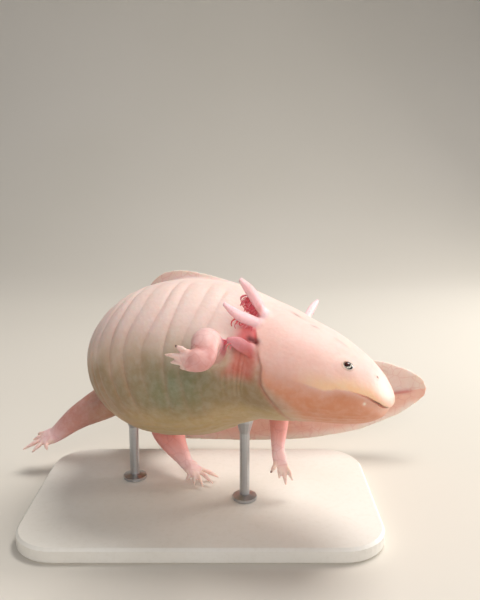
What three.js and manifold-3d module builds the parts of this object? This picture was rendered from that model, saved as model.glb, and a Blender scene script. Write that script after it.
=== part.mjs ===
// A life-size axolotl swimming just above a plain display stand, in millimetres, +Z up.
// The origin is the centre of the stand's underside. The animal heads towards +X and curls its tail
// round behind it (+Y). Left and right are the animal's own. Its back leans a little to its left.
import * as THREE from "three";
import { mergeVertices } from "three/addons/utils/BufferGeometryUtils.js";
import Module from "manifold-3d";

const wasm = await Module();
wasm.setup();

// ---------------------------------------------------------------- driving dimensions
const GAP = 0.3; // clearance between neighbouring pieces
const BELLY = 24.5; // half of the trunk's greatest width
const HEAD = 41; // snout tip to the back of the head
const EYE_RADIUS = 1.75;
const FIN_THICKNESS = 1.7; // of a fin where it leaves the body
const DIGIT_RADIUS = 0.95;
const BASE = { length: 112, width: 70, thick: 5, corner: 14, bevel: 0.8 };
const ROD = { radius: 1.6, footRadius: 4, footHeight: 1.6, capRadius: 2.8, capHeight: 4 };

const SKIN = { color: "#eec3b4", roughness: 0.35 };
const LIMB = { color: "#e3968a", roughness: 0.35 };
const GILL = { color: "#dd8f93", roughness: 0.35 };
const FIN = { color: "#dfb9ad", roughness: 0.3 };
const EYE = { color: "#3a1712", roughness: 0.08 };
const BASE_FINISH = { color: "#e9e6df", roughness: 0.5 };
const STEEL = { color: "#b8babd", roughness: 0.3, metalness: 1 };

// ---------------------------------------------------------------- the body's stations, snout to tail tip
// Each row is the centre (x, y, z), the half sizes to the side, up and down,
// and the lean of the back to the left in degrees.
const SNOUT = new THREE.Vector3(54.6, -33.1, 47.4);
const HEAD_BACK = new THREE.Vector3(-0.83, 0.523, 0.168).normalize(); // from the snout to the neck
const HEAD_LEAN = 15;

// A head section at a share of the head's length, with its half sizes as shares of that length.
function headRow(along, side, up, down) {
  const centre = SNOUT.clone().addScaledVector(HEAD_BACK, along * HEAD);
  return [...centre.toArray(), side * HEAD, up * HEAD, down * HEAD, HEAD_LEAN];
}

// A trunk or tail section, with its half sizes as shares of the belly's half width.
function trunkRow(x, y, z, side, up, down, lean) {
  return [x, y, z, side * BELLY, up * BELLY, down * BELLY, lean];
}

const STATIONS = {
  snout: headRow(0.03, 0, 0, 0),
  lips: headRow(0.05, 0.125, 0.06, 0.075),
  muzzle: headRow(0.1, 0.22, 0.13, 0.135),
  nostrils: headRow(0.18, 0.29, 0.2, 0.185),
  eyes: headRow(0.32, 0.365, 0.275, 0.24),
  cheeks: headRow(0.54, 0.435, 0.35, 0.305),
  jaw: headRow(0.78, 0.47, 0.395, 0.39),
  nape: headRow(1.0, 0.465, 0.44, 0.46),
  shoulders: trunkRow(11, -7, 54.6, 0.87, 0.88, 0.9, 15),
  chest: trunkRow(1.3, -3.4, 53.8, 0.96, 0.96, 1.01, 15),
  belly: trunkRow(-7.4, 0.6, 52.3, 1.0, 0.98, 1.02, 15),
  flank: trunkRow(-14.2, 6, 49.8, 0.97, 0.93, 1.0, 14),
  loin: trunkRow(-19.9, 13.3, 46, 0.83, 0.8, 0.88, 12),
  groin: trunkRow(-23, 21.4, 40.6, 0.63, 0.62, 0.69, 8),
  pelvis: trunkRow(-23, 29.2, 34.6, 0.47, 0.48, 0.52, 4),
  vent: trunkRow(-19.6, 36.2, 29.4, 0.37, 0.43, 0.43, 0),
  tail_root: trunkRow(-11.6, 41.2, 25.8, 0.28, 0.36, 0.35, 0),
  tail_front: trunkRow(2, 43, 23.6, 0.2, 0.29, 0.28, 0),
  tail_middle: trunkRow(19, 43, 22.5, 0.15, 0.22, 0.22, 0),
  tail_rear: trunkRow(37, 42.5, 22.5, 0.11, 0.16, 0.155, 0),
  tail_thin: trunkRow(53, 42, 23.2, 0.08, 0.11, 0.11, 0),
  tail_narrow: trunkRow(67, 42, 24.5, 0.055, 0.065, 0.065, 0),
  tail_tip: trunkRow(77, 42, 25.8, 0.035, 0.035, 0.035, 0),
};
const BODY_ROWS = Object.values(STATIONS);
const stationOf = (name) => Object.keys(STATIONS).indexOf(name);

// ---------------------------------------------------------------- sweeping sections along a line of rows
const UP = new THREE.Vector3(0, 0, 1);

// The rows' Catmull-Rom value at t, which is a whole number at each row.
function between(rows, t) {
  const last = rows.length - 1;
  const i = Math.max(0, Math.min(Math.floor(t), last - 1));
  const f = t - i;
  const row = (k) => rows[Math.max(0, Math.min(last, k))];
  const [a, b, c, d] = [row(i - 1), row(i), row(i + 1), row(i + 2)];
  return b.map((_, k) => {
    const slopeB = (c[k] - a[k]) / 2;
    const slopeC = (d[k] - b[k]) / 2;
    const rise = c[k] - b[k];
    return b[k] + f * (slopeB + f * (3 * rise - 2 * slopeB - slopeC + f * (slopeB + slopeC - 2 * rise)));
  });
}

// The section's centre, its forward, left and top directions, and its half sizes at t.
function sectionAt(rows, t, hint = UP) {
  const [x, y, z, side, up, down, lean = 0] = between(rows, t);
  const step = 0.02;
  const ahead = between(rows, Math.max(0, t - step));
  const behind = between(rows, Math.min(rows.length - 1, t + step));
  const forward = new THREE.Vector3(...ahead).sub(new THREE.Vector3(...behind)).normalize();
  const left = new THREE.Vector3().crossVectors(hint, forward).normalize();
  left.applyAxisAngle(forward, -THREE.MathUtils.degToRad(lean));
  const top = new THREE.Vector3().crossVectors(forward, left);
  return { centre: new THREE.Vector3(x, y, z), forward, left, top, side, up, down };
}

// A point of the section's outline, grown outwards by grow.
// Angle 0 is the left side and a quarter turn the top.
function onSection(s, angle, grow = 0) {
  const rise = Math.sin(angle);
  const half = rise > 0 ? s.up : s.down;
  return s.centre
    .clone()
    .addScaledVector(s.left, Math.cos(angle) * (s.side + grow))
    .addScaledVector(s.top, rise * (half + grow));
}

// A closed geometry as a solid that can be cut and joined.
function solidOf(geometry) {
  for (const name of Object.keys(geometry.attributes)) {
    if (name !== "position") geometry.deleteAttribute(name);
  }
  const merged = mergeVertices(geometry, 1e-4);
  const mesh = new wasm.Mesh({
    numProp: 3,
    vertProperties: merged.attributes.position.array,
    triVerts: new Uint32Array(merged.index.array),
  });
  return new wasm.Manifold(mesh);
}

// A sphere's grid of faces, with each vertex placed by its ring along the sweep and its angle around it.
function warpedSphere(around, along, place) {
  const geometry = new THREE.SphereGeometry(1, around, along);
  const { position, uv } = geometry.attributes;
  for (let i = 0; i < position.count; i++) {
    const ring = Math.round((1 - uv.getY(i)) * along);
    const p = place(ring, 2 * Math.PI * uv.getX(i));
    position.setXYZ(i, p.x, p.y, p.z);
  }
  return solidOf(geometry);
}

// Sweeps the rows from one t to another, with a flat face at each end.
function sweep(rows, { from = 0, to = rows.length - 1, around = 8, along = 8, grow = 0, hint = UP } = {}) {
  return warpedSphere(around, along, (ring, angle) => {
    const share = THREE.MathUtils.clamp((ring - 1) / (along - 2), 0, 1);
    const s = sectionAt(rows, from + (to - from) * share, hint);
    if (ring === 0 || ring === along) return s.centre;
    return onSection(s, angle, grow);
  });
}

// The t that lies a distance away from t along the rows.
function shifted(rows, t, distance) {
  const step = 0.01;
  const a = between(rows, t);
  const b = between(rows, t + (t > 1 ? -step : step));
  const pace = Math.hypot(b[0] - a[0], b[1] - a[1], b[2] - a[2]) / step;
  return t + distance / pace;
}

// The sweep between two t, which ends half a gap short of each end that meets a neighbour.
function lengthOf(rows, first, last, options) {
  const from = first > 0 ? shifted(rows, first, GAP / 2) : 0;
  const to = last < rows.length - 1 ? shifted(rows, last, -GAP / 2) : last;
  return sweep(rows, { ...options, from, to });
}

const union = (solids) => solids.reduce((whole, solid) => whole.add(solid));
const cutBy = (solid, cutters) => cutters.reduce((rest, cutter) => rest.subtract(cutter), solid);
const biggest = (solid) => solid.decompose().sort((a, b) => b.volume() - a.volume())[0];

// ---------------------------------------------------------------- the scene graph
const group = new THREE.Group();

function add(name, solid, finish) {
  const { numProp, vertProperties, triVerts } = solid.getMesh();
  const geometry = new THREE.BufferGeometry();
  geometry.setAttribute("position", new THREE.BufferAttribute(new Float32Array(vertProperties), numProp));
  geometry.setIndex(new THREE.BufferAttribute(new Uint32Array(triVerts), 1));
  const mesh = new THREE.Mesh(geometry, new THREE.MeshStandardMaterial({ metalness: 0, ...finish }));
  mesh.name = name;
  group.add(mesh);
}

// ---------------------------------------------------------------- the body in lengths
const BODY_AROUND = 24;
const PELVIS_END = stationOf("tail_root") - 0.5;
const LENGTHS = {
  head: { from: 0, to: stationOf("nape"), along: 18 },
  neck: { from: stationOf("nape"), to: stationOf("shoulders"), along: 5 },
  trunk_front: { from: stationOf("shoulders"), to: stationOf("belly"), along: 9 },
  trunk_rear: { from: stationOf("belly"), to: stationOf("groin"), along: 11 },
  pelvis: { from: stationOf("groin"), to: PELVIS_END, along: 8 },
  tail_front: { from: PELVIS_END, to: stationOf("tail_middle"), along: 8 },
  tail_middle: { from: stationOf("tail_middle"), to: stationOf("tail_thin"), along: 6 },
  tail_end: { from: stationOf("tail_thin"), to: BODY_ROWS.length - 1, along: 5 },
};
const bodyPieces = {};
for (const [name, { from, to, along }] of Object.entries(LENGTHS)) {
  bodyPieces[name] = lengthOf(BODY_ROWS, from, to, { around: BODY_AROUND, along });
}

// The body a gap larger all round, which makes room for it in the limbs, gills, fins and rods.
const roomForTrunk = sweep(BODY_ROWS, {
  from: stationOf("jaw"),
  to: stationOf("vent"),
  around: BODY_AROUND,
  along: 27,
  grow: GAP * 1.2,
});
const roomForTail = sweep(BODY_ROWS, {
  from: stationOf("pelvis"),
  to: BODY_ROWS.length - 1,
  around: BODY_AROUND,
  along: 18,
  grow: GAP * 1.2,
});

// A point on the body's surface at t, with its angle in degrees up from the animal's left side.
function onBody(t, degrees, lift = 0) {
  return onSection(sectionAt(BODY_ROWS, t), THREE.MathUtils.degToRad(degrees), lift);
}

// ---------------------------------------------------------------- the mouth and the lower jaw
// The head's own axes: back from the snout, up to the crown, and out to the left.
const headFrame = sectionAt(BODY_ROWS, stationOf("eyes"));
const HEAD_AXES = new THREE.Matrix4()
  .makeBasis(headFrame.forward.clone().negate(), headFrame.top, headFrame.left)
  .setPosition(SNOUT);

// The cut runs in at the lips, back along the mouth, and down through the throat. Each point is [back, up].
const JAW_LINE = [
  [-4, -3.4],
  [0, -1.3],
  [2.4, 0.5],
  [5, 1.5],
  [9.5, 1.7],
  [12.5, 0.6],
  [14.5, -4],
  [16, -12],
  [17, -26],
];
function jawCut() {
  const line = new THREE.SplineCurve(JAW_LINE.map(([back, up]) => new THREE.Vector2(back, up)));
  const steps = 12;
  const side = (sign) =>
    Array.from({ length: steps + 1 }, (_, i) => {
      const along = line.getTangent(i / steps);
      const normal = new THREE.Vector2(-along.y, along.x);
      return line.getPoint(i / steps).addScaledVector(normal, (sign * GAP) / 2);
    });
  const outline = new THREE.Shape([...side(1), ...side(-1).reverse()]);
  const width = 2 * HEAD;
  const geometry = new THREE.ExtrudeGeometry(outline, { depth: width, bevelEnabled: false, steps: 1 });
  geometry.translate(0, 0, -width / 2);
  geometry.applyMatrix4(HEAD_AXES);
  return solidOf(geometry);
}

// ---------------------------------------------------------------- the eyes, sunk in their sockets
const EYE_STATION = stationOf("eyes") - 0.06;
const EYE_ANGLE = 44; // up from the side
const EYE_DEPTH = 0.75; // of the eye's centre under the skin

function ball(centre, radius) {
  const geometry = new THREE.SphereGeometry(radius, 10, 7);
  geometry.translate(centre.x, centre.y, centre.z);
  return solidOf(geometry);
}
const EYE_CENTRES = {
  eye_left: onBody(EYE_STATION, EYE_ANGLE, -EYE_DEPTH),
  eye_right: onBody(EYE_STATION, 180 - EYE_ANGLE, -EYE_DEPTH),
};
const sockets = Object.values(EYE_CENTRES).map((centre) => ball(centre, EYE_RADIUS + GAP));

const [skull, jaw] = cutBy(bodyPieces.head, [...sockets, jawCut()])
  .decompose()
  .sort((a, b) => b.volume() - a.volume());
add("head", skull, SKIN);
add("lower_jaw", jaw, SKIN);
for (const [name, centre] of Object.entries(EYE_CENTRES)) add(name, ball(centre, EYE_RADIUS), EYE);
for (const [name, solid] of Object.entries(bodyPieces)) if (name !== "head") add(name, solid, SKIN);

// ---------------------------------------------------------------- the fins
// How far the fins stand above and below the body at each station, from the shoulders on.
const FIN_RISE = {
  shoulders: [0, 0],
  chest: [1.4, 0],
  belly: [3.2, 0],
  flank: [4.2, 0],
  loin: [4.6, 0],
  groin: [5, 0],
  pelvis: [5.6, 0],
  vent: [6.6, 2.4],
  tail_root: [8, 9.5],
  tail_front: [9.6, 11.2],
  tail_middle: [11.2, 11.8],
  tail_rear: [12.4, 12.4],
  tail_thin: [13.2, 11.4],
  tail_narrow: [11.2, 9],
  tail_tip: [7.5, 5.6],
};
// Past the tail's own tip, the fins go on to their rounded end.
const FIN_ENDS = [
  { centre: [81.4, 42.2, 27.2], half: 4.5 },
  { centre: [83.3, 42.3, 27.4], half: 2.6 },
  { centre: [84, 42.4, 27.4], half: 0.02 },
];

// The fin's rows on one side of the body's line: its blade is a thin half ellipse.
function finRows(upper) {
  const sign = upper ? 1 : -1;
  const floor = 0.02;
  const rows = Object.entries(FIN_RISE).map(([name, [rise, drop]]) => {
    const [x, y, z, , up, down, lean] = STATIONS[name];
    const reach = upper ? up + rise : down + drop;
    const heights = upper ? [reach, floor] : [floor, reach];
    return [x, y, z + (sign * GAP) / 2, FIN_THICKNESS / 2, ...heights, lean];
  });
  for (const { centre: [x, y, z], half } of FIN_ENDS) {
    const heights = upper ? [half, floor] : [floor, half];
    rows.push([x, y, z + (sign * GAP) / 2, FIN_THICKNESS / 3, ...heights, 0]);
  }
  return rows;
}
function addFin(name, upper, first, last, along) {
  const rows = finRows(upper);
  const start = stationOf("shoulders");
  const blade = lengthOf(rows, first - start, last - start, { around: 8, along });
  add(name, biggest(cutBy(blade, [roomForTrunk, roomForTail])), FIN);
}
const FIN_TIP = BODY_ROWS.length - 1 + FIN_ENDS.length;
addFin("fin_trunk", true, stationOf("shoulders") + 0.1, stationOf("groin"), 12);
addFin("fin_rump", true, stationOf("groin"), PELVIS_END, 7);
addFin("fin_tail_upper_front", true, PELVIS_END, stationOf("tail_middle"), 8);
addFin("fin_tail_upper_rear", true, stationOf("tail_middle"), FIN_TIP, 11);
addFin("fin_tail_lower_front", false, stationOf("vent") - 0.2, stationOf("tail_middle"), 9);
addFin("fin_tail_lower_rear", false, stationOf("tail_middle"), FIN_TIP, 11);

// ---------------------------------------------------------------- the legs
// Each line runs from inside the body through the joint and the wrist to the knuckles,
// as [x, y, z, half width, half depth]. The tips are those of the digits,
// and back is the way that the back of the hand or foot faces.
const LIMBS = {
  foreleg_left: {
    line: [
      [16, 4, 47, 4.6, 4.6],
      [21.2, 8, 42, 4.2, 4.2],
      [24.7, 3.5, 31.5, 3.5, 3.3],
      [24.4, -1.9, 22, 2.2, 2],
      [24.8, -3.6, 19, 2.4, 1.5],
      [25.1, -4.3, 17.4, 1.9, 1.1],
    ],
    back: [0.2, -0.8, 0.5],
    tips: [[21.8, -7.5, 15.2], [24.8, -5.1, 12], [27, -4.8, 9.7], [29.2, -4.9, 11.2]],
  },
  foreleg_right: {
    line: [
      [7.5, -17, 56, 4.8, 4.8],
      [4.7, -26.6, 61, 4.2, 4.2],
      [3, -36.6, 67, 3.8, 3.6],
      [2.5, -43.2, 64.7, 3.4, 2.8],
      [0.9, -45.8, 64.5, 3.1, 2.1],
      [-0.9, -46, 64.6, 2.5, 1.5],
    ],
    back: [-0.1, -0.8, 0.5],
    tips: [[-4.6, -44.9, 68.2], [-7.2, -45.2, 65.9], [-5.8, -45.1, 63.8], [-3.4, -44.5, 62.2]],
  },
  hindleg_left: {
    line: [
      [-18.6, 26, 33, 6.2, 6.2],
      [-15.4, 22, 27, 6.2, 6.2],
      [-13.1, 15, 20, 5.6, 5.2],
      [-7.1, 8.9, 12.1, 2.7, 2.4],
      [-4.8, 7.4, 10.2, 3.3, 1.7],
      [-3.4, 6.7, 9.1, 2.9, 1.2],
    ],
    back: [0.3, -0.2, 0.9],
    tips: [[-6.5, 4.2, 6.6], [-3.3, 1.1, 6.5], [-0.4, 0.7, 6.4], [3, 2.8, 6.3], [4.8, 7.4, 6.4]],
  },
  hindleg_right: {
    line: [
      [-28, 28, 31.5, 5.8, 5.8],
      [-37, 29.6, 26, 6.2, 6.2],
      [-47.8, 29.4, 20, 4.7, 4.4],
      [-55.8, 28.3, 13.9, 3.2, 2.8],
      [-58.5, 27.7, 12.8, 3.5, 1.9],
      [-60.1, 27.4, 12.3, 3.1, 1.3],
    ],
    back: [-0.2, -0.5, 0.85],
    tips: [[-58.4, 22.7, 9.5], [-64.2, 23, 8.5], [-68.1, 24.9, 8.7], [-65.2, 28.6, 11], [-64.2, 31.4, 12]],
  },
};
const BEND = 2.1; // just past the elbow or knee
const WRIST = 3;
const LIMB_LENGTHS = { upper: [0, BEND], lower: [BEND, WRIST] };

// A digit from inside the palm out to its tip, a little arched towards its back.
function digit(palm, knuckle, tip, back) {
  const arch = knuckle.clone().lerp(tip, 0.5).addScaledVector(back, 0.3);
  const row = (p, share) => [...p.toArray(), ...Array(3).fill(DIGIT_RADIUS * share)];
  const rows = [row(palm, 0.9), row(knuckle, 1), row(arch, 0.85), row(tip, 0.55)];
  return sweep(rows, { around: 5, along: 4, hint: back });
}

for (const [name, { line, back, tips }] of Object.entries(LIMBS)) {
  const hint = new THREE.Vector3(...back).normalize();
  const rows = line.map(([x, y, z, side, deep]) => [x, y, z, side, deep, deep]);
  for (const [part, [from, to]] of Object.entries(LIMB_LENGTHS)) {
    const length = lengthOf(rows, from, to, { around: 10, along: part === "upper" ? 8 : 6, hint });
    add(`${name}_${part}`, biggest(length.subtract(roomForTrunk)), LIMB);
  }
  const palm = lengthOf(rows, WRIST, rows.length - 1, { around: 8, along: 6, hint });
  const end = sectionAt(rows, rows.length - 1, hint);
  const middle = sectionAt(rows, rows.length - 1.5, hint);
  const digits = tips.map((tip, i) => {
    const spread = (1 - (2 * i) / (tips.length - 1)) * 0.72;
    const point = new THREE.Vector3(...tip);
    const across = Math.sign(end.left.dot(new THREE.Vector3(...tips[0]).sub(end.centre)));
    const knuckle = end.centre.clone().addScaledVector(end.left, across * spread * end.side);
    return digit(middle.centre, knuckle, point, hint);
  });
  add(`${name}_${name.startsWith("fore") ? "hand" : "foot"}`, union([palm, ...digits]), LIMB);
}

// ---------------------------------------------------------------- the gills
// Each stalk leaves the back of the head at a station of the body and an angle up from the side.
// The reach is to its tip, as [forward, out, up], the bow is how far its middle stands over a straight line,
// and the fringe is the length of its filaments.
const GILLS = {
  gill_right_top: { station: 6.9, angle: 51, reach: [-5.6, 8.4, 8], width: 2.3, bow: 0.6, fringe: 3.8 },
  gill_right_middle: {
    station: 6.9, angle: 38.5, reach: [-5.4, 12, 3.4], width: 1.85, bow: -0.8, fringe: 4.2,
  },
  gill_right_low: { station: 6.65, angle: 11, reach: [-4.3, 6.9, 1.9], width: 2.15, bow: 0.4, fringe: 2.2 },
  gill_left_top: { station: 6.7, angle: 50, reach: [-1.6, 10, 7.2], width: 1.8, bow: 0.6, fringe: 3.8 },
  gill_left_middle: { station: 6.9, angle: 35, reach: [-4, 11.4, 2], width: 1.7, bow: 0.6, fringe: 4.2 },
  gill_left_low: { station: 6.75, angle: 14, reach: [-5.2, 8.6, -0.6], width: 1.8, bow: 0.6, fringe: 4.2 },
};
const FILAMENTS = 4;
const FILAMENT_RADIUS = 0.5;

for (const [name, { station, angle, reach, width, bow, fringe }] of Object.entries(GILLS)) {
  const isLeft = name.includes("left");
  const root = sectionAt(BODY_ROWS, station);
  const out = root.left.clone().multiplyScalar(isLeft ? 1 : -1);
  const way = ([ahead, outward, up]) =>
    new THREE.Vector3()
      .addScaledVector(root.forward, ahead)
      .addScaledVector(out, outward)
      .addScaledVector(root.top, up);
  const base = onBody(station, isLeft ? angle : 180 - angle);
  const tip = base.clone().add(way(reach));
  const inside = base.clone().addScaledVector(way(reach), -0.35);
  const bend = base.clone().lerp(tip, 0.55).add(way([0, 0, bow]));
  const row = (p, share) => [...p.toArray(), width * share, width * share * 0.55, width * share * 0.55];
  const rows = [row(inside, 0.75), row(base, 0.85), row(bend, 0.9), row(tip, 0.42)];
  const hint = way([1, 0, 0.25]).normalize();
  const stalk = sweep(rows, { around: 8, along: 7, hint });
  const filaments = Array.from({ length: FILAMENTS }, (_, i) => {
    const s = sectionAt(rows, 1.15 + (1.35 * i) / (FILAMENTS - 1), hint);
    const start = s.centre.clone().addScaledVector(s.top, -s.down * 0.5);
    const reachDown = way([-0.8, 0.1, -0.6]).normalize();
    const curl = way([0.2, 0.5, -0.8]).normalize();
    const middle = start.clone().addScaledVector(reachDown, fringe * 0.6);
    const end = middle.clone().addScaledVector(curl, fringe * 0.4);
    const thread = [start, middle, end].map((p) => [...p.toArray(), ...Array(3).fill(FILAMENT_RADIUS)]);
    return sweep(thread, { around: 4, along: 4, hint: out });
  });
  add(name, biggest(cutBy(union([stalk, ...filaments]), [roomForTrunk])), GILL);
}

// ---------------------------------------------------------------- the stand
function standBase() {
  const { length, width, thick, corner, bevel } = BASE;
  const [x, y] = [length / 2 - bevel, width / 2 - bevel];
  const r = corner - bevel;
  const outline = new THREE.Shape();
  outline.moveTo(-x + r, -y);
  outline.absarc(x - r, -y + r, r, -Math.PI / 2, 0);
  outline.absarc(x - r, y - r, r, 0, Math.PI / 2);
  outline.absarc(-x + r, y - r, r, Math.PI / 2, Math.PI);
  outline.absarc(-x + r, -y + r, r, Math.PI, 1.5 * Math.PI);
  const geometry = new THREE.ExtrudeGeometry(outline, {
    depth: thick - 2 * bevel,
    bevelThickness: bevel,
    bevelSize: bevel,
    bevelSegments: 1,
    curveSegments: 5,
  });
  geometry.translate(0, 0, bevel);
  return solidOf(geometry);
}
add("stand_base", standBase(), BASE_FINISH);

// A rod with a round foot on the base and a cap hollowed to the belly that rests on it.
const RODS = { stand_rod_front: [13.5, -5, 36], stand_rod_rear: [-24.5, 10, 32] };
for (const [name, [x, y, top]] of Object.entries(RODS)) {
  const bottom = BASE.thick + GAP;
  const profile = [
    [0, bottom],
    [ROD.footRadius, bottom],
    [ROD.footRadius, bottom + ROD.footHeight * 0.6],
    [ROD.radius, bottom + ROD.footHeight],
    [ROD.radius, top - ROD.capHeight * 2],
    [ROD.capRadius, top - ROD.capHeight],
    [ROD.capRadius, top],
    [0, top],
  ].map(([r, z]) => new THREE.Vector2(r, z));
  const geometry = new THREE.LatheGeometry(profile, 12);
  geometry.rotateX(Math.PI / 2);
  geometry.translate(x, y, 0);
  add(name, biggest(solidOf(geometry).subtract(roomForTrunk)), STEEL);
}

export default group;
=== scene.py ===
"""A museum model of an axolotl: its skin, its eyes, its gills' filaments and its stand.

The frame is the CAD's, in metres. The shape's own numbers are in millimetres, and new_mesh and
set_points turn them to metres.
"""
import itertools
from types import SimpleNamespace

import bmesh
import bpy
import numpy as np
import openvdb as vdb
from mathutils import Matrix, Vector


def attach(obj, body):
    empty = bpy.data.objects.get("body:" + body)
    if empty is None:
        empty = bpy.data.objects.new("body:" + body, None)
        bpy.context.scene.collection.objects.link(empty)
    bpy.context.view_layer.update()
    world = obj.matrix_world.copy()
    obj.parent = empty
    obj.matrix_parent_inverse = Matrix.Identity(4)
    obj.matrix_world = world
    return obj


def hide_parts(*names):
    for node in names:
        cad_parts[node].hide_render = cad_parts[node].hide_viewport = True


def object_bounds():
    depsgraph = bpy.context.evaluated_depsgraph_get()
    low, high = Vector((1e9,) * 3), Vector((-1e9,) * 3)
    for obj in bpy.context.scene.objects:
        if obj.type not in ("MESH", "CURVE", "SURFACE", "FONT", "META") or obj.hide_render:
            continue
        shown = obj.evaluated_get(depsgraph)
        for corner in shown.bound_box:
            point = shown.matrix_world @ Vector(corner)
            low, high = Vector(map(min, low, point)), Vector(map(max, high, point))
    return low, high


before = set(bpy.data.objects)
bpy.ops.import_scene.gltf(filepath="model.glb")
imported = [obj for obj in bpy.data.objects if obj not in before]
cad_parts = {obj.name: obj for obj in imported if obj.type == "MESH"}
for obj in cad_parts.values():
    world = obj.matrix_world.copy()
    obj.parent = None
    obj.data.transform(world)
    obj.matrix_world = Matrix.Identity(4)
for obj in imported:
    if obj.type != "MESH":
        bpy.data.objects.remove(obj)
cad_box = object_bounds()

MM = 0.001
VOXEL = 0.34  # edge of the field's cells, mm
SKIN_TRIANGLES = 192_000

# ---------------- the body's stations, as in the CAD model
BELLY = 24.5  # the belly's half width
HEAD = 41.0  # the head's length
SNOUT = np.array([54.6, -33.1, 47.4])
HEAD_BACK = np.array([-0.83, 0.523, 0.168])
HEAD_BACK /= np.linalg.norm(HEAD_BACK)
HEAD_LEAN = 15.0

# Along the head, then the half sizes to the side, up and down, as shares of the head's length.
HEAD_ROWS = {
    "snout": (0.03, 0, 0, 0),
    "lips": (0.05, 0.125, 0.06, 0.075),
    "muzzle": (0.1, 0.22, 0.13, 0.135),
    "nostrils": (0.18, 0.29, 0.2, 0.185),
    "eyes": (0.32, 0.365, 0.275, 0.24),
    "cheeks": (0.54, 0.435, 0.35, 0.305),
    "jaw": (0.78, 0.47, 0.395, 0.39),
    "nape": (1.0, 0.465, 0.44, 0.46),
}
# The centre, then the half sizes to the side, up and down as shares of the belly's, and the lean of
# the back in degrees.
TRUNK_ROWS = {
    "shoulders": (11, -7, 54.6, 0.87, 0.88, 0.9, 15),
    "chest": (1.3, -3.4, 53.8, 0.96, 0.96, 1.01, 15),
    "belly": (-7.4, 0.6, 52.3, 1.0, 0.98, 1.02, 15),
    "flank": (-14.2, 6, 49.8, 0.97, 0.93, 1.0, 14),
    "loin": (-19.9, 13.3, 46, 0.83, 0.8, 0.88, 12),
    "groin": (-23, 21.4, 40.6, 0.63, 0.62, 0.69, 8),
    "pelvis": (-23, 29.2, 34.6, 0.47, 0.48, 0.52, 4),
    "vent": (-19.6, 36.2, 29.4, 0.37, 0.43, 0.43, 0),
    "tail_root": (-11.6, 41.2, 25.8, 0.28, 0.36, 0.35, 0),
    "tail_front": (2, 43, 23.6, 0.2, 0.29, 0.28, 0),
    "tail_middle": (19, 43, 22.5, 0.15, 0.22, 0.22, 0),
    "tail_rear": (37, 42.5, 22.5, 0.11, 0.16, 0.155, 0),
    "tail_thin": (53, 42, 23.2, 0.08, 0.11, 0.11, 0),
    "tail_narrow": (67, 42, 24.5, 0.055, 0.065, 0.065, 0),
    "tail_tip": (77, 42, 25.8, 0.035, 0.035, 0.035, 0),
}
STATIONS = {
    name: (*(SNOUT + HEAD_BACK * HEAD * along), *(HEAD * np.array(sizes)), HEAD_LEAN)
    for name, (along, *sizes) in HEAD_ROWS.items()
}
STATIONS |= {
    name: (x, y, z, *(BELLY * np.array(sizes)), lean)
    for name, (x, y, z, *sizes, lean) in TRUNK_ROWS.items()
}
BODY_ROWS = np.array(list(STATIONS.values()), float)
STATION = {name: i for i, name in enumerate(STATIONS)}
LAST = len(BODY_ROWS) - 1

# How far the fins stand above and below the body.
FIN_RISE = {
    "shoulders": (0, 0),
    "chest": (1.4, 0),
    "belly": (3.2, 0),
    "flank": (4.2, 0),
    "loin": (4.6, 0),
    "groin": (5, 0),
    "pelvis": (5.6, 0),
    "vent": (6.6, 2.4),
    "tail_root": (8, 9.5),
    "tail_front": (9.6, 11.2),
    "tail_middle": (11.2, 11.8),
    "tail_rear": (12.4, 12.4),
    "tail_thin": (13.2, 11.4),
    "tail_narrow": (11.2, 9),
    "tail_tip": (7.5, 5.6),
}
# The fins' rounded end past the tail's tip: a centre, and the reach above and below it.
FIN_ENDS = [((80.6, 42.2, 26.3), 6.2, 4.9), ((83, 42.3, 26.7), 3.9, 3), ((84.1, 42.4, 26.9), 0.3, 0.3)]
FIN_THICKNESS = 1.3
FIN_END_THICKNESS = FIN_THICKNESS * 2 / 3
FIN_RIM = 0.5  # added to the fins' reach, because the field's cells round off a sharp rim
FIN_BLUNTNESS = 0.45  # below 1, a fin stays thick close to its rim

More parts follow.
